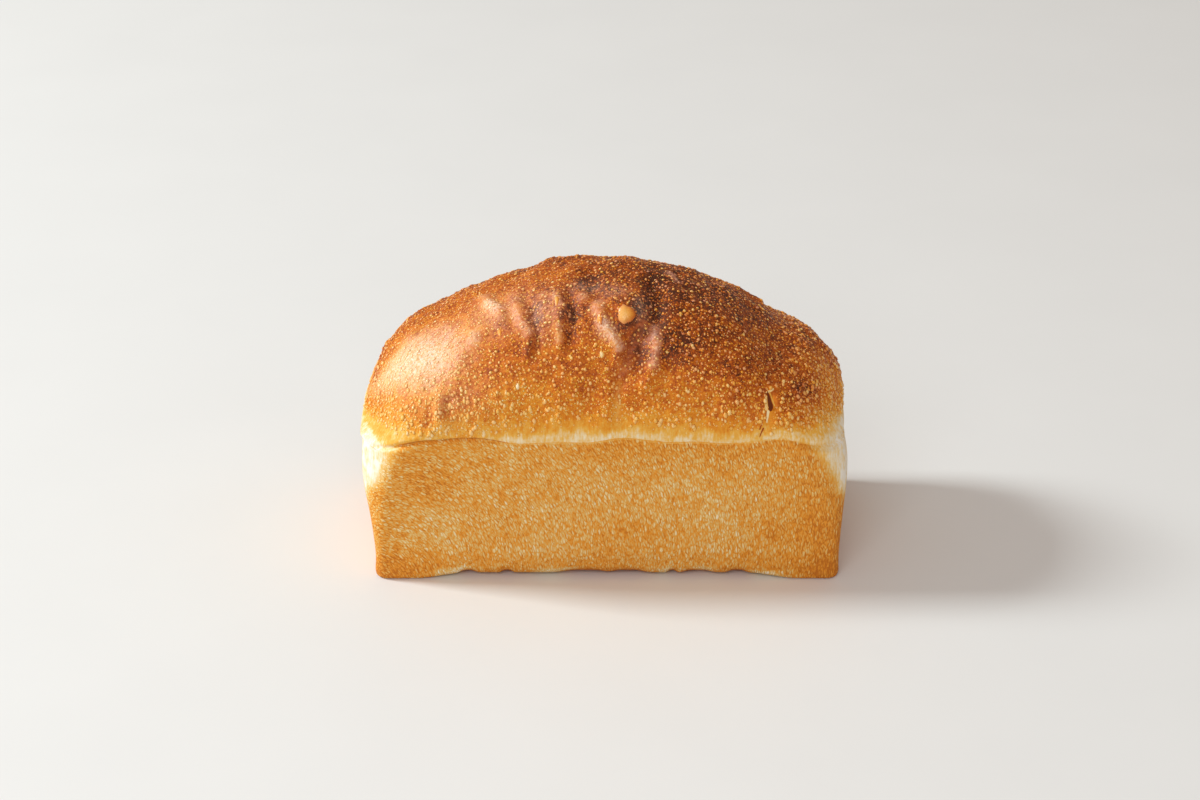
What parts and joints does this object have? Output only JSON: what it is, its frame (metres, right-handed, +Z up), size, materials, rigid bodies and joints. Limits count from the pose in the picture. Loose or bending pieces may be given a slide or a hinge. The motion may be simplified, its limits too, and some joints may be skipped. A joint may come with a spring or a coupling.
{
  "type": "tin loaf",
  "caption": "White loaf baked in an open tin: tapered golden sides, a pale break along the rim and a domed, blistered brown crown with folds.",
  "frame": {"origin": "on the surface the loaf stands on, under the middle of its bounding box", "axes": "+Z up, +X along the long side, the face with the deep fold of the crown towards -Y"},
  "size_m": [0.2076, 0.104, 0.1272],
  "materials": {
    "crust": "baked crust, satin on the brown crown and matt on the golden sides"
  },
  "bodies": {
    "root": {"loaf": "crust"}
  },
  "joints": []
}
